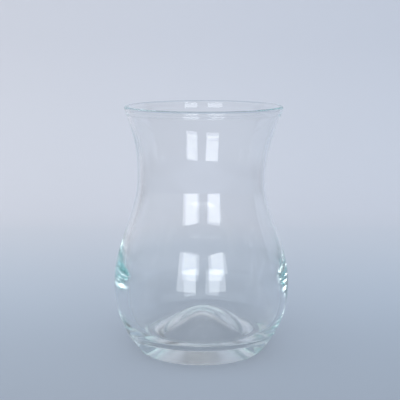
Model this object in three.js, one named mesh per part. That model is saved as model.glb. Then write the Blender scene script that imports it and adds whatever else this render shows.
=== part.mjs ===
// A one-piece clear glass vase: a low round belly, a long waist and a flared mouth,
// with a heavy base that is pushed up into a dome in the middle.
// The whole vase is one solid of revolution. Its section runs from the axis under the dome,
// out along the foot, up the outside, over the lip and back down the inside to the axis.
// Units are millimetres, +Z is up, and the foot stands on z = 0 with the axis on x = y = 0.

import * as THREE from 'three';

// Outside
const HEIGHT = 200; // foot to the top of the lip
const RIM_RADIUS = 63.8; // outermost edge of the lip
const FLARE_ANGLE = 20; // lean of the mouth below the lip, in degrees from upright
const NECK_RADIUS = 51.9; // the narrowest place
const NECK_HEIGHT = 140;
const BELLY_RADIUS = 71.8; // the widest place
const BELLY_HEIGHT = 54;
const HEEL_ARC_RADIUS = 82; // one arc from the belly down to the foot
const FOOT_EDGE_RADIUS = 2.5; // rounding between the heel and the flat of the foot
const RING_WIDTH = 9.5; // flat ring that the vase stands on

// Glass thickness
const LIP_RADIUS = 1.8; // fire-polished bead round the mouth
const RIM_WALL = 2.7; // wall just below the bead
const NECK_WALL = 3.2;
const BELLY_WALL = 6; // wall where the inside is widest
const BASE_WALL = 15; // glass under the lowest ring of the inner floor
const DOME_WALL = 2; // glass at the top of the dome

// Dome and inside
const KICK_HEIGHT = 26.8; // hollow under the base, at the axis
const KICK_EDGE_ANGLE = 35; // slope of the hollow where it meets the ring, in degrees
const KICK_EDGE_REACH = 6; // how far that slope holds
const VALLEY_OFFSET = 1.5; // lowest ring of the inner floor, outside the inner edge of the foot ring
const BOWL_RISE = 16; // the inside is widest this far above the outside
const BEAD_FADE = 6; // length over which the bead runs out into the inner wall

// Fullness of each curve's two ends, as shares of the height or radius that it spans
const SHOULDER = { belly: 0.39, neck: 0.32 };
const FLARE = { neck: 0.47, rim: 0.41 };
const INNER_SHOULDER = { neck: 0.37, belly: 0.29 };
const BOWL = { belly: 0.75, valley: 0.62 };
const DOME = { valley: 0.13, top: 0.5 };
const KICK = { top: 0.38 };
const BEAD = 0.4;

const SEGMENTS = 60; // facets round the axis

const radians = THREE.MathUtils.degToRad;
const at = (radius, height) => new THREE.Vector2(radius, height);
const bezier = (start, startHandle, endHandle, end) =>
  new THREE.CubicBezierCurve(start, startHandle, endHandle, end);
const arc = (centre, radius, from, to) =>
  new THREE.EllipseCurve(centre.x, centre.y, radius, radius, from, to, to < from);

// Heel: an arc whose centre is level with the belly, met by the rounding of the foot from inside.
const heelCentre = at(BELLY_RADIUS - HEEL_ARC_RADIUS, BELLY_HEIGHT);
const footEdgeReach = Math.sqrt(
  (HEEL_ARC_RADIUS - FOOT_EDGE_RADIUS) ** 2 - (BELLY_HEIGHT - FOOT_EDGE_RADIUS) ** 2,
);
const footEdgeCentre = at(heelCentre.x + footEdgeReach, FOOT_EDGE_RADIUS);
const heelFootAngle = Math.atan2(footEdgeCentre.y - heelCentre.y, footEdgeReach);
const footEnd = at(footEdgeCentre.x, 0);

// Mouth: directions along the flare and square to it, and the bead's centre at the top.
const flareTurn = radians(FLARE_ANGLE);
const upFlare = at(Math.sin(flareTurn), Math.cos(flareTurn));
const outOfFlare = at(Math.cos(flareTurn), -Math.sin(flareTurn));
const lipCentre = at(RIM_RADIUS - LIP_RADIUS, HEIGHT - LIP_RADIUS);
const lipOutside = lipCentre.clone().addScaledVector(outOfFlare, LIP_RADIUS);
const lipInside = lipCentre.clone().addScaledVector(outOfFlare, -LIP_RADIUS);
const rimInside = lipOutside.clone().addScaledVector(outOfFlare, -RIM_WALL).addScaledVector(upFlare, -BEAD_FADE);

// Places on the outside and the inside where one curve hands over to the next
const belly = at(BELLY_RADIUS, BELLY_HEIGHT);
const neck = at(NECK_RADIUS, NECK_HEIGHT);
const innerNeck = at(NECK_RADIUS - NECK_WALL, NECK_HEIGHT);
const innerBelly = at(BELLY_RADIUS - BELLY_WALL, BELLY_HEIGHT + BOWL_RISE);
const kickEdge = at(footEnd.x - RING_WIDTH, 0);
const kickTop = at(0, KICK_HEIGHT);
const valley = at(kickEdge.x + VALLEY_OFFSET, BASE_WALL);
const domeTop = at(0, KICK_HEIGHT + DOME_WALL);

const raised = (point, rise) => at(point.x, point.y + rise);
const shifted = (point, shift) => at(point.x + shift, point.y);

// Hollow under the base, level at its top and meeting the ring at a slope.
function kick() {
  const edgeTurn = radians(KICK_EDGE_ANGLE);
  const edgeHandle = at(
    kickEdge.x - KICK_EDGE_REACH * Math.cos(edgeTurn),
    KICK_EDGE_REACH * Math.sin(edgeTurn),
  );
  return bezier(kickTop, shifted(kickTop, KICK.top * kickEdge.x), edgeHandle, kickEdge);
}

// Outer wall from the belly in to the neck, upright at both ends.
function shoulder() {
  const rise = neck.y - belly.y;
  return bezier(belly, raised(belly, SHOULDER.belly * rise), raised(neck, -SHOULDER.neck * rise), neck);
}

// Outer wall from the neck out to the lip.
function flare() {
  const rise = lipOutside.y - neck.y;
  const rimHandle = lipOutside.clone().addScaledVector(upFlare, -FLARE.rim * rise);
  return bezier(neck, raised(neck, FLARE.neck * rise), rimHandle, lipOutside);
}

// The bead's inner side swells past the wall and fades into it.
function bead() {
  const reach = BEAD * BEAD_FADE;
  const lipHandle = lipInside.clone().addScaledVector(upFlare, -reach);
  const wallHandle = rimInside.clone().addScaledVector(upFlare, reach);
  return bezier(lipInside, lipHandle, wallHandle, rimInside);
}

// Inner wall from below the bead down to the neck.
function innerFlare() {
  const drop = rimInside.y - innerNeck.y;
  const rimHandle = rimInside.clone().addScaledVector(upFlare, -FLARE.rim * drop);
  return bezier(rimInside, rimHandle, raised(innerNeck, FLARE.neck * drop), innerNeck);
}

// Inner wall from the neck down to where the inside is widest: the glass thickens on the way.
function innerShoulder() {
  const drop = innerNeck.y - innerBelly.y;
  const neckHandle = raised(innerNeck, -INNER_SHOULDER.neck * drop);
  return bezier(innerNeck, neckHandle, raised(innerBelly, INNER_SHOULDER.belly * drop), innerBelly);
}

// Round inner floor, from the widest place down to its lowest ring.
function bowl() {
  const drop = innerBelly.y - valley.y;
  const span = innerBelly.x - valley.x;
  return bezier(innerBelly, raised(innerBelly, -BOWL.belly * drop), shifted(valley, BOWL.valley * span), valley);
}

// Dome of the inner floor over the hollow, level at its foot and at its top.
function dome() {
  const footHandle = shifted(valley, -DOME.valley * valley.x);
  return bezier(valley, footHandle, shifted(domeTop, DOME.top * valley.x), domeTop);
}

// The whole section: each curve with the number of straight steps it is drawn in.
function section() {
  const curves = [
    [kick(), 7],
    [new THREE.LineCurve(kickEdge, footEnd), 1],
    [arc(footEdgeCentre, FOOT_EDGE_RADIUS, -Math.PI / 2, heelFootAngle), 2],
    [arc(heelCentre, HEEL_ARC_RADIUS, heelFootAngle, 0), 6],
    [shoulder(), 9],
    [flare(), 5],
    [arc(lipCentre, LIP_RADIUS, -flareTurn, Math.PI - flareTurn), 5],
    [bead(), 3],
    [innerFlare(), 5],
    [innerShoulder(), 8],
    [bowl(), 7],
    [dome(), 7],
  ];
  const points = curves.flatMap(([curve, steps]) => curve.getPoints(steps).slice(0, -1));
  return [...points, domeTop];
}

const glass = new THREE.MeshStandardMaterial({ color: 0xdfe9ea, roughness: 0.02, metalness: 0 });
glass.transparent = true;
glass.opacity = 0.35;

const body = new THREE.Mesh(new THREE.LatheGeometry(section(), SEGMENTS), glass);
body.name = 'vase_body';
body.rotation.x = Math.PI / 2; // the lathe turns about its own Y, which stands up as the vase's Z

const vase = new THREE.Group();
vase.add(body);

export default vase;
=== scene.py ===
"""A clear glass vase on a pale studio sweep.

The glass is one piece: a section of arcs and Bezier curves turned about the Z axis. The section runs from
the axis under the dome, out along the foot, up the outside, over the lip and down the inside to the axis.
All lengths are metres, +Z is up, and the foot stands on z = 0.
"""

import math

import bpy
import numpy as np
from mathutils import Matrix, Vector


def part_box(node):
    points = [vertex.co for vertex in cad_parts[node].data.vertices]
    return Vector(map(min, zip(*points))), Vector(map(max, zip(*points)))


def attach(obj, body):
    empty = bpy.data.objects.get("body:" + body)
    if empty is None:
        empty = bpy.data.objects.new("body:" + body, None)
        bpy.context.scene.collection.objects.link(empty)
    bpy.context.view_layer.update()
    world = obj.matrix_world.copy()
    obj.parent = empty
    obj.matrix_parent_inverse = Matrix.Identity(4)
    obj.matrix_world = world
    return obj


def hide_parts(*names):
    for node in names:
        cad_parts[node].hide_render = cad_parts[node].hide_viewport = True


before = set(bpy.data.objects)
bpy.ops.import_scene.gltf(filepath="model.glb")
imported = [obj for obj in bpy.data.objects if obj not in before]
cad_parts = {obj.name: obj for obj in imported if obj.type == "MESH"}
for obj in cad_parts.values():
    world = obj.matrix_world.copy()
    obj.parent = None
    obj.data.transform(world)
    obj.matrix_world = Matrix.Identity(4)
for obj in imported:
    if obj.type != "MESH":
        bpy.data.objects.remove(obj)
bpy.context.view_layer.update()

MM = 0.001

# Outside of the glass
VASE_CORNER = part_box("vase_body")[1]
HEIGHT = VASE_CORNER.z  # foot to the top of the lip
BELLY_RADIUS = VASE_CORNER.x  # the widest place
BELLY_HEIGHT = 54 * MM
NECK_RADIUS = 51.9 * MM  # the narrowest place
NECK_HEIGHT = 140 * MM
RIM_RADIUS = 63.8 * MM  # outermost edge of the lip
FLARE_TURN = math.radians(20)  # lean of the mouth below the lip, from upright
HEEL_ARC_RADIUS = 82 * MM  # one arc from the belly down to the foot
FOOT_EDGE_RADIUS = 2.5 * MM  # rounding between the heel and the flat of the foot
RING_WIDTH = 9.5 * MM  # flat ring that the vase stands on

# Thickness of the glass
LIP_RADIUS = 1.8 * MM  # fire-polished bead round the mouth
RIM_WALL = 2.7 * MM  # just below the bead
NECK_WALL = 3.2 * MM
BELLY_WALL = 6 * MM  # where the inside is widest
BASE_WALL = 15 * MM  # under the lowest ring of the inner floor
DOME_WALL = 2 * MM  # at the top of the dome

# Dome, hollow and inside
KICK_HEIGHT = 26.8 * MM  # hollow under the base, at the axis
KICK_EDGE_TURN = math.radians(35)  # slope of the hollow where it meets the ring
KICK_EDGE_REACH = 6 * MM  # how far that slope holds
VALLEY_OFFSET = 1.5 * MM  # lowest ring of the inner floor, outside the inner edge of the foot ring
BOWL_RISE = 16 * MM  # the inside is widest this far above the outside
BEAD_FADE = 6 * MM  # length over which the bead runs out into the inner wall

# Fullness of each curve's two ends, as shares of the height or radius that it spans
SHOULDER = (0.39, 0.32)
FLARE = (0.47, 0.41)
INNER_SHOULDER = (0.37, 0.29)
BOWL = (0.75, 0.62)
DOME = (0.13, 0.5)
KICK_TOP = 0.38
BEAD = 0.4

# Unevenness of the real glass, sideways along X
MOUTH_DRIFT = 1.9 * MM  # the mouth stands this far off the foot's axis
MOUTH_DRIFT_FROM = 120 * MM  # it grows from here up to the lip
INNER_DRIFT = 1.7 * MM  # low down the inside is this far off the outside, which leaves one wall thicker
INNER_DRIFT_FROM = 70 * MM  # from here up to the lip it fades out

# Fineness of the mesh: steps along each curve of the section, and places round the axis
HOLLOW_STEPS = 40
RING_STEPS = 8
FOOT_EDGE_STEPS = 10
HEEL_STEPS = 40
SHOULDER_STEPS = 56
FLARE_STEPS = 32
LIP_STEPS = 16
BEAD_STEPS = 10
INNER_FLARE_STEPS = 30
INNER_SHOULDER_STEPS = 56
BOWL_STEPS = 40
DOME_STEPS = 40
TURNS = 256

# Glass
GLASS_IOR = 1.52
GLASS_TINT = (0.5, 0.91, 0.9, 1.0)
GLASS_TINT_DENSITY = 1.5
UNDERSIDE_ROUGHNESS = 0.18  # the mould leaves the underside less polished than the rest
UNDERSIDE_FROM = 0.68  # how squarely a face looks down, from which it counts as the underside
UNDERSIDE_TO = 0.74
RIPPLE_DEPTH = 0.03 * MM  # faint ripples that run round the lower glass
RIPPLE_SCALE = (30.0, 30.0, 200.0)  # ripples in a metre along X, Y and Z
RIPPLE_LOW = 40 * MM  # they fade out between these two heights
RIPPLE_HIGH = 75 * MM
LIGHT_BOUNCES = 300  # light runs far round inside the thick base

# Sweep: its shape
SWEEP_GAP = 0.4 * MM  # keeps the floor clear of the foot ring
SWEEP_FRONT = 2.4
SWEEP_BACK = 0.55
SWEEP_COVE = 0.25  # radius of the curve from floor to backdrop
SWEEP_COVE_STEPS = 23
SWEEP_HALF_WIDTH = 3.0
SWEEP_HEIGHT = 3.6

# Sweep: its paper
SWEEP_GLOW = 0.5  # share of the colour that doesn't depend on the light
SWEEP_SIDE_FROM = 0.36  # painted shade darkens the floor from here outwards, on both sides
SWEEP_SIDE_TO = 0.8
SWEEP_SIDE_SHADE = 0.5
SWEEP_SIDE_LOW = 0.03  # up the backdrop this shade runs out
SWEEP_SIDE_HIGH = 0.21
SWEEP_TOP_FROM = 0.7  # painted shade darkens the backdrop from here upwards
SWEEP_TOP_TO = 1.2
SWEEP_TOP_LIGHT = 0.32  # what is left of its colour there
PAPER_ROUGHNESS = 0.8
PAPER_SPECULAR = 0.2
PAPER_NEAR = -0.2  # the paper's pale colour, darkened towards the front as painted shade, runs from here, in front of the vase, to the backdrop
PAPER_FAR = 0.6
# The darker front shades are painted shade on the floor; the last two are the paper's even pale colour
PAPER_SHADES = (
    (0.0, (0.353, 0.398, 0.472, 1)),
    (0.42, (0.492, 0.572, 0.68, 1)),
    (0.85, (0.67, 0.703, 0.776, 1)),
    (1.0, (0.675, 0.702, 0.78, 1)),
)
# Painted light and shade across the paper, lighter on the left and darker to the right of the vase
PAPER_SIDE_LIGHT_REACH = 0.35  # painted light on the left and painted shade on the right are full this far out
PAPER_LEFT_PAINTED_LIGHT = (1.08, 1.065, 1.05)
PAPER_RIGHT_PAINTED_SHADE = (0.955, 0.98, 1.005)

# Light
SOFTBOX_COLOUR = (0.92, 0.96, 1.0)
SOFTBOX_RADIANCE = 4.0
SOFTBOX_DISTANCE = 2.5
SOFTBOX_LIFT = 0.08  # height of the place that the angles below are taken from
SOFTBOX_LOW = math.radians(-5)  # lower and upper edge, as angles from level
SOFTBOX_HIGH = math.radians(24)
SOFTBOXES = {"left_softbox": (-31, -7), "right_softbox": (10, 31)}  # degrees round from straight in front
AIR_COLOUR = (0.88, 0.94, 1.0, 1)
AIR_LEFT = 0.5
AIR_RIGHT = 0.2
AIR_TOP = 1.6  # straight up
AIR_TOP_FROM = 0.5  # height on a ball of radius 1 from which the air brightens towards the top

# Camera
CAMERA_SIDE = -1.0 * MM
CAMERA_DISTANCE = 0.765
CAMERA_HEIGHT = 0.2567
CAMERA_PITCH = math.radians(9.906)
SENSOR = 36.0
LENS = 85.64


def at(radius, height):
    """A place in the section, or a step from one place to another."""
    return np.array([radius, height], float)


# Directions along the flare of the mouth and square to it, and the places of the lip
UP_FLARE = at(math.sin(FLARE_TURN), math.cos(FLARE_TURN))
OUT_OF_FLARE = at(math.cos(FLARE_TURN), -math.sin(FLARE_TURN))
LIP_CENTRE = at(RIM_RADIUS - LIP_RADIUS, HEIGHT - LIP_RADIUS)
LIP_OUTSIDE = LIP_CENTRE + LIP_RADIUS * OUT_OF_FLARE
LIP_INSIDE = LIP_CENTRE - LIP_RADIUS * OUT_OF_FLARE
RIM_INSIDE = LIP_OUTSIDE - RIM_WALL * OUT_OF_FLARE - BEAD_FADE * UP_FLARE

# The heel's centre is level with the belly, and the rounding of the foot meets the heel from inside
HEEL_CENTRE = at(BELLY_RADIUS - HEEL_ARC_RADIUS, BELLY_HEIGHT)
FOOT_EDGE_DROP = BELLY_HEIGHT - FOOT_EDGE_RADIUS
FOOT_EDGE_REACH = math.sqrt((HEEL_ARC_RADIUS - FOOT_EDGE_RADIUS) ** 2 - FOOT_EDGE_DROP**2)
FOOT_EDGE_CENTRE = at(HEEL_CENTRE[0] + FOOT_EDGE_REACH, FOOT_EDGE_RADIUS)
HEEL_FOOT_TURN = math.atan2(FOOT_EDGE_CENTRE[1] - HEEL_CENTRE[1], FOOT_EDGE_REACH)

# Other places where one curve of the section hands over to the next
RING_OUTER_EDGE = at(FOOT_EDGE_CENTRE[0], 0)
RING_INNER_EDGE = at(FOOT_EDGE_CENTRE[0] - RING_WIDTH, 0)
BELLY = at(BELLY_RADIUS, BELLY_HEIGHT)
NECK = at(NECK_RADIUS, NECK_HEIGHT)
INNER_NECK = at(NECK_RADIUS - NECK_WALL, NECK_HEIGHT)
INNER_BELLY = at(BELLY_RADIUS - BELLY_WALL, BELLY_HEIGHT + BOWL_RISE)
VALLEY = at(RING_INNER_EDGE[0] + VALLEY_OFFSET, BASE_WALL)
KICK_PEAK = at(0, KICK_HEIGHT)
DOME_PEAK = at(0, KICK_HEIGHT + DOME_WALL)


def bezier(start, start_handle, end_handle, end, steps):
    """Points of a cubic Bezier curve: each of the four given points weighted by its Bernstein polynomial."""
    t = np.linspace(0, 1, steps + 1)[:, None]
    places = (start, start_handle, end_handle, end)
    weights = [(1 - t) ** 3, 3 * t * (1 - t) ** 2, 3 * t**2 * (1 - t), t**3]
    return sum(weight * place for weight, place in zip(weights, places))


def arc(centre, radius, start_turn, end_turn, steps):
    """Points of a circular arc: the centre plus the radius in directions evenly spread between two angles."""
    turn = np.linspace(start_turn, end_turn, steps + 1)
    return centre + radius * np.column_stack([np.cos(turn), np.sin(turn)])


def hollow():
    """The hollow under the base: a Bezier curve, level at the axis and sloping where it meets the ring."""
    level = at(KICK_TOP * RING_INNER_EDGE[0], 0)
    slope = KICK_EDGE_REACH * at(-math.cos(KICK_EDGE_TURN), math.sin(KICK_EDGE_TURN))
    return bezier(KICK_PEAK, KICK_PEAK + level, RING_INNER_EDGE + slope, RING_INNER_EDGE, HOLLOW_STEPS)


def foot_ring():
    """The flat ring that the vase stands on: a straight line outwards."""
    return np.linspace(RING_INNER_EDGE, RING_OUTER_EDGE, RING_STEPS + 1)


def foot_edge():
    """The rounding of the foot: an arc from straight down to where the heel goes on."""
    return arc(FOOT_EDGE_CENTRE, FOOT_EDGE_RADIUS, -math.pi / 2, HEEL_FOOT_TURN, FOOT_EDGE_STEPS)


def heel():
    """The outer wall from the foot up to the belly: one arc that ends upright."""
    return arc(HEEL_CENTRE, HEEL_ARC_RADIUS, HEEL_FOOT_TURN, 0, HEEL_STEPS)


def shoulder():
    """The outer wall from the belly in to the neck: a Bezier curve, upright at both ends."""
    rise = at(0, NECK_HEIGHT - BELLY_HEIGHT)
    return bezier(BELLY, BELLY + SHOULDER[0] * rise, NECK - SHOULDER[1] * rise, NECK, SHOULDER_STEPS)


def flare():
    """The outer wall from the neck out to the lip: a Bezier curve from upright to the lean of the flare."""
    rise = LIP_OUTSIDE[1] - NECK_HEIGHT
    neck_handle = NECK + at(0, FLARE[0] * rise)
    lip_handle = LIP_OUTSIDE - FLARE[1] * rise * UP_FLARE
    return bezier(NECK, neck_handle, lip_handle, LIP_OUTSIDE, FLARE_STEPS)


def lip():
    """The rounded lip: half a circle from the outer wall over to the inner one."""
    return arc(LIP_CENTRE, LIP_RADIUS, -FLARE_TURN, math.pi - FLARE_TURN, LIP_STEPS)


def bead():
    """The inner side of the bead: a Bezier curve that fades from the lip into the thinner wall."""
    reach = BEAD * BEAD_FADE * UP_FLARE
    return bezier(LIP_INSIDE, LIP_INSIDE - reach, RIM_INSIDE + reach, RIM_INSIDE, BEAD_STEPS)


def inner_flare():
    """The inner wall from below the bead down to the neck: a Bezier curve like the outer one."""
    drop = RIM_INSIDE[1] - NECK_HEIGHT
    rim_handle = RIM_INSIDE - FLARE[1] * drop * UP_FLARE
    neck_handle = INNER_NECK + at(0, FLARE[0] * drop)
    return bezier(RIM_INSIDE, rim_handle, neck_handle, INNER_NECK, INNER_FLARE_STEPS)


def inner_shoulder():
    """The inner wall from the neck to where the inside is widest: a Bezier curve, upright at both ends."""
    drop = at(0, INNER_NECK[1] - INNER_BELLY[1])
    neck_handle = INNER_NECK - INNER_SHOULDER[0] * drop
    belly_handle = INNER_BELLY + INNER_SHOULDER[1] * drop
    return bezier(INNER_NECK, neck_handle, belly_handle, INNER_BELLY, INNER_SHOULDER_STEPS)


def bowl():
    """The round inner floor down to its lowest ring: a Bezier curve from upright to level."""
    span, drop = INNER_BELLY - VALLEY
    belly_handle = INNER_BELLY - at(0, BOWL[0] * drop)
    valley_handle = VALLEY + at(BOWL[1] * span, 0)
    return bezier(INNER_BELLY, belly_handle, valley_handle, VALLEY, BOWL_STEPS)


def dome():
    """The dome of the inner floor over the hollow: a Bezier curve, level at its foot and at its top."""
    span = at(VALLEY[0], 0)
    return bezier(VALLEY, VALLEY - DOME[0] * span, DOME_PEAK + DOME[1] * span, DOME_PEAK, DOME_STEPS)


def smooth_step(value, start, end):
    """0 before start, 1 after end, and 3t^2 - 2t^3 between them."""
    t = np.clip((value - start) / (end - start), 0, 1)
    return t * t * (3 - 2 * t)


def section():
    """The whole section from the axis under the dome to the axis above it, each shared end once, as rows
    of (radius, height, drift). Drift is how far the ring's centre lies off the axis. It grows smoothly
    towards the mouth, and the inside adds its own offset, which has smoothly faded out at the lip."""
    outer = [hollow(), foot_ring(), foot_edge(), heel(), shoulder(), flare(), lip()]
    inner = [bead(), inner_flare(), inner_shoulder(), bowl(), dome()]
    outer_count = 1 + sum(len(curve) - 1 for curve in outer)
    points = np.vstack([KICK_PEAK, *[curve[1:] for curve in outer + inner]])
    height = points[:, 1]
    drift = MOUTH_DRIFT * smooth_step(height, MOUTH_DRIFT_FROM, HEIGHT)
    faded = smooth_step(height[outer_count:], INNER_DRIFT_FROM, HEIGHT - 2 * LIP_RADIUS)
    drift[outer_count:] += INNER_DRIFT * (1 - faded)
    return np.column_stack([points, drift])


def turned_mesh(name, points):
    """Turns a section about Z: vertex (i, j) is radius i at angle j, moved along X by the ring's drift,
    with one vertex where each end meets the axis."""
    rings = points[1:-1]
    turn = np.arange(TURNS) * (2 * math.pi / TURNS)
    x = np.outer(rings[:, 0], np.cos(turn)) + rings[:, 2:]
    y = np.outer(rings[:, 0], np.sin(turn))
    z = np.repeat(rings[:, 1:2], TURNS, axis=1)
    ends = [(drift, 0, height) for _, height, drift in points[[0, -1]]]
    vertices = np.vstack([np.stack([x, y, z], axis=-1).reshape(-1, 3), ends])

    here = np.arange(TURNS)
    there = np.roll(here, -1)
    start = (np.arange(len(rings) - 1) * TURNS)[:, None]
    quads = np.stack([start + here, start + there, start + TURNS + there, start + TURNS + here], axis=-1)
    last_ring = (len(rings) - 1) * TURNS
    low_end = np.full(TURNS, len(rings) * TURNS)
    low_cap = np.stack([low_end, there, here], axis=-1)
    high_cap = np.stack([low_end + 1, last_ring + here, last_ring + there], axis=-1)
    faces = [*quads.reshape(-1, 4).tolist(), *low_cap.tolist(), *high_cap.tolist()]

    mesh = bpy.data.meshes.new(name)
    mesh.from_pydata(vertices.tolist(), [], faces)
    mesh.shade_smooth()
    return mesh


def feed(tree, source, socket):
    """Gives a node's input a number or vector, or joins another node's output to it."""
    if isinstance(source, bpy.types.NodeSocket):
        tree.links.new(source, socket)
    else:
        socket.default_value = source


def spread(tree, value, start, end, first, last, ease="SMOOTHSTEP"):
    """A change from first to last while the value runs from start to end."""
    node = tree.nodes.new("ShaderNodeMapRange")
    node.interpolation_type = ease
    feed(tree, value, node.inputs["Value"])
    feed(tree, start, node.inputs["From Min"])
    feed(tree, end, node.inputs["From Max"])
    feed(tree, first, node.inputs["To Min"])
    feed(tree, last, node.inputs["To Max"])
    return node.outputs["Result"]


def worked(tree, operation, *sources):
    """The result of a Math node on one or two numbers."""
    node = tree.nodes.new("ShaderNodeMath")
    node.operation = operation
    for source, socket in zip(sources, node.inputs):
        feed(tree, source, socket)
    return node.outputs["Value"]


def stretched(tree, vector, factors):
    """A vector whose X, Y and Z are each multiplied by a factor of their own."""
    node = tree.nodes.new("ShaderNodeVectorMath")
    node.operation = "MULTIPLY"
    feed(tree, vector, node.inputs[0])
    feed(tree, factors, node.inputs[1])
    return node.outputs["Vector"]


def parted(tree, vector):
    """The X, Y and Z of a vector."""
    node = tree.nodes.new("ShaderNodeSeparateXYZ")
    feed(tree, vector, node.inputs["Vector"])
    return [node.outputs[axis] for axis in "XYZ"]


def matt_underside(tree):
    """The glass's roughness: none, but for faces that look down. The normal of a face seen from behind
    comes turned round to the viewer, so its sign is put right first."""
    face = tree.nodes.new("ShaderNodeNewGeometry")
    upward = parted(tree, face.outputs["Normal"])[2]
    side = spread(tree, face.outputs["Backfacing"], 0, 1, -1, 1)
    downward = worked(tree, "MULTIPLY", upward, side)
    return spread(tree, downward, UNDERSIDE_FROM, UNDERSIDE_TO, 0, UNDERSIDE_ROUGHNESS)


def ripples(tree):
    """Faint ripples as a bump: noise that changes faster upwards than sideways and fades out up the wall."""
    place = tree.nodes.new("ShaderNodeTexCoord").outputs["Object"]
    height = parted(tree, place)[2]
    noise = tree.nodes.new("ShaderNodeTexNoise")
    feed(tree, stretched(tree, place, RIPPLE_SCALE), noise.inputs["Vector"])
    noise.inputs["Scale"].default_value = 1.0
    noise.inputs["Detail"].default_value = 1.0
    strength = spread(tree, height, RIPPLE_LOW, RIPPLE_HIGH, 1, 0)
    bump = tree.nodes.new("ShaderNodeBump")
    bump.inputs["Strength"].default_value = 1.0
    bump.inputs["Distance"].default_value = RIPPLE_DEPTH
    feed(tree, worked(tree, "MULTIPLY", noise.outputs["Fac"], strength), bump.inputs["Height"])
    return bump.outputs["Normal"]


def clear_glass():
    """Clear soda-lime glass: polished, with a slightly matt underside, faint ripples in the lower wall, and a
    teal tint that shows only where light runs far through the glass."""
    material = bpy.data.materials.new("clear_glass")
    material.use_nodes = True
    tree = material.node_tree
    surface = tree.nodes["Principled BSDF"]
    surface.inputs["Base Color"].default_value = (1, 1, 1, 1)
    surface.inputs["IOR"].default_value = GLASS_IOR
    surface.inputs["Transmission Weight"].default_value = 1.0
    feed(tree, matt_underside(tree), surface.inputs["Roughness"])
    feed(tree, ripples(tree), surface.inputs["Normal"])
    tint = tree.nodes.new("ShaderNodeVolumeAbsorption")
    tint.inputs["Color"].default_value = GLASS_TINT
    tint.inputs["Density"].default_value = GLASS_TINT_DENSITY
    feed(tree, tint.outputs["Volume"], tree.nodes["Material Output"].inputs["Volume"])
    return material


def paper_shade(tree, depth):
    """The paper's pale colour from front to back, darker towards the front as painted shade: a smooth ramp
    through the named shades.
    """
    ramp = tree.nodes.new("ShaderNodeValToRGB")
    ramp.color_ramp.interpolation = "B_SPLINE"
    stops = ramp.color_ramp.elements
    stops[0].color = PAPER_SHADES[0][1]
    stops[1].color = PAPER_SHADES[-1][1]
    for position, colour in PAPER_SHADES[1:-1]:
        stops.new(position).color = colour
    feed(tree, spread(tree, depth, PAPER_NEAR, PAPER_FAR, 0, 1, "LINEAR"), ramp.inputs["Fac"])
    return ramp.outputs["Color"]


def paper_side_light(tree, side):
    """Painted light and shade across the paper: an even change from lighter on the left to darker on the
    right.
    """
    node = tree.nodes.new("ShaderNodeMapRange")
    node.data_type = "FLOAT_VECTOR"
    reach = np.full(3, PAPER_SIDE_LIGHT_REACH)
    value, start, end, first, last = node.inputs[6:11]  # the inputs of its vector form
    feed(tree, side, value)
    feed(tree, -reach, start)
    feed(tree, reach, end)
    feed(tree, PAPER_LEFT_PAINTED_LIGHT, first)
    feed(tree, PAPER_RIGHT_PAINTED_SHADE, last)
    return node.outputs["Vector"]


def paper_painted_shade(tree, side, height):
    """Painted shade on the paper: dimmer out to both sides low down, and dimmer high up the backdrop."""
    aside = spread(tree, worked(tree, "ABSOLUTE", side), SWEEP_SIDE_FROM, SWEEP_SIDE_TO, 0, SWEEP_SIDE_SHADE)
    low = spread(tree, height, SWEEP_SIDE_LOW, SWEEP_SIDE_HIGH, 1, 0)
    beside = spread(tree, worked(tree, "MULTIPLY", aside, low), 0, 1, 1, 0)
    above = spread(tree, height, SWEEP_TOP_FROM, SWEEP_TOP_TO, 1, SWEEP_TOP_LIGHT)
    return worked(tree, "MULTIPLY", beside, above)


def sweep_paper():
    """Matt paper. Seen directly or in the glass, part of its colour is a glow, which evens out the light
    on it."""
    material = bpy.data.materials.new("sweep_paper")
    material.use_nodes = True
    tree = material.node_tree
    side, depth, height = parted(tree, tree.nodes.new("ShaderNodeTexCoord").outputs["Object"])
    # The paper's colour times painted light on the left and painted shade on the right
    side_lit = stretched(tree, paper_shade(tree, depth), paper_side_light(tree, side))
    # Painted shade to both sides low down and high up the backdrop
    colour = stretched(tree, side_lit, paper_painted_shade(tree, side, height))
    surface = tree.nodes["Principled BSDF"]
    surface.inputs["Roughness"].default_value = PAPER_ROUGHNESS
    surface.inputs["Specular IOR Level"].default_value = PAPER_SPECULAR
    feed(tree, colour, surface.inputs["Base Color"])
    glow = tree.nodes.new("ShaderNodeEmission")
    feed(tree, colour, glow.inputs["Color"])
    path = tree.nodes.new("ShaderNodeLightPath")
    seen = worked(tree, "MAXIMUM", path.outputs["Is Camera Ray"], path.outputs["Is Glossy Ray"])
    seen = worked(tree, "MAXIMUM", seen, path.outputs["Is Transmission Ray"])
    mix = tree.nodes.new("ShaderNodeMixShader")
    feed(tree, worked(tree, "MULTIPLY", seen, SWEEP_GLOW), mix.inputs["Fac"])
    feed(tree, surface.outputs["BSDF"], mix.inputs[1])
    feed(tree, glow.outputs["Emission"], mix.inputs[2])
    feed(tree, mix.outputs["Shader"], tree.nodes["Material Output"].inputs["Surface"])
    return material


def placed(name, data):
    """A new object at the origin that holds the given mesh, lamp or camera."""
    thing = bpy.data.objects.new(name, data)
    bpy.context.scene.collection.objects.link(thing)
    return thing


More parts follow.
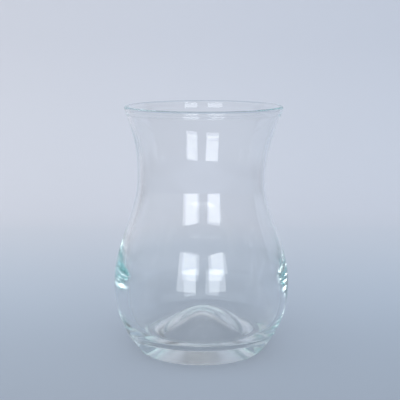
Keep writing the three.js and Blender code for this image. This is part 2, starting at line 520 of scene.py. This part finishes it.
def studio_sweep():
    """A floor that curves up into a backdrop: a line of floor, a quarter circle and a line of wall, drawn out
    along X."""
    turn = np.linspace(0, math.pi / 2, SWEEP_COVE_STEPS + 1)
    y = np.concatenate([[-SWEEP_FRONT], SWEEP_BACK + SWEEP_COVE * np.sin(turn), [SWEEP_BACK + SWEEP_COVE]])
    z = np.concatenate([[0], SWEEP_COVE * (1 - np.cos(turn)), [SWEEP_HEIGHT]]) - SWEEP_GAP
    sides = np.array([-SWEEP_HALF_WIDTH, SWEEP_HALF_WIDTH])
    vertices = np.stack([np.tile(sides, len(y)), np.repeat(y, 2), np.repeat(z, 2)], axis=-1)
    first = 2 * np.arange(len(y) - 1)[:, None]
    faces = first + np.array([0, 1, 3, 2])
    mesh = bpy.data.meshes.new("studio_sweep")
    mesh.from_pydata(vertices.tolist(), [], faces.tolist())
    mesh.shade_smooth()
    mesh.materials.append(sweep_paper())
    return placed("studio_sweep", mesh)


def softbox(name, left, right):
    """A bright upright panel that faces the vase, between two angles round it and the two heights that
    the named angles from level give at the panel's distance."""
    middle = math.radians((left + right) / 2)
    width = 2 * SOFTBOX_DISTANCE * math.tan(math.radians((right - left) / 2))
    bottom = SOFTBOX_DISTANCE * math.tan(SOFTBOX_LOW)
    top = SOFTBOX_DISTANCE * math.tan(SOFTBOX_HIGH)
    lamp = bpy.data.lights.new(name, "AREA")
    lamp.shape = "RECTANGLE"
    lamp.size = width
    lamp.size_y = top - bottom
    lamp.energy = SOFTBOX_RADIANCE * math.pi * width * (top - bottom)
    lamp.color = SOFTBOX_COLOUR
    panel = placed(name, lamp)
    height = (bottom + top) / 2 + SOFTBOX_LIFT
    panel.location = (SOFTBOX_DISTANCE * math.sin(middle), -SOFTBOX_DISTANCE * math.cos(middle), height)
    towards = Vector((-panel.location.x, -panel.location.y, 0))
    panel.rotation_euler = towards.to_track_quat("-Z", "Y").to_euler()


def studio_air():
    """Soft light from all round, which changes evenly from left to right and brightens towards the top."""
    world = bpy.data.worlds.new("studio_air")
    world.use_nodes = True
    tree = world.node_tree
    x, _, z = parted(tree, tree.nodes.new("ShaderNodeTexCoord").outputs["Generated"])
    across = spread(tree, x, -1, 1, AIR_LEFT, AIR_RIGHT, "LINEAR")
    air = tree.nodes["Background"]
    air.inputs["Color"].default_value = AIR_COLOUR
    feed(tree, spread(tree, z, AIR_TOP_FROM, 1, across, AIR_TOP, "LINEAR"), air.inputs["Strength"])
    return world


def studio_camera():
    """The camera, in front of the vase and a little above its rim, looking slightly down."""
    lens = bpy.data.cameras.new("studio_camera")
    lens.sensor_width = SENSOR
    lens.lens = LENS
    camera = placed("studio_camera", lens)
    tilt = Matrix.Rotation(math.pi / 2 - CAMERA_PITCH, 4, "X")
    camera.matrix_world = Matrix.Translation((CAMERA_SIDE, -CAMERA_DISTANCE, CAMERA_HEIGHT)) @ tilt
    return camera


scene = bpy.context.scene
scene.camera = studio_camera()
scene.world = studio_air()
scene.view_settings.view_transform = "Standard"
scene.cycles.max_bounces = LIGHT_BOUNCES
scene.cycles.transmission_bounces = LIGHT_BOUNCES
scene.cycles.glossy_bounces = LIGHT_BOUNCES

for softbox_name, (left_edge, right_edge) in SOFTBOXES.items():
    softbox(softbox_name, left_edge, right_edge)
studio_sweep()

glass_mesh = turned_mesh("glass_vase", section())
glass_mesh.materials.append(clear_glass())
glass_vase = placed("glass_vase", glass_mesh)
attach(glass_vase, "root")
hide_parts("vase_body")
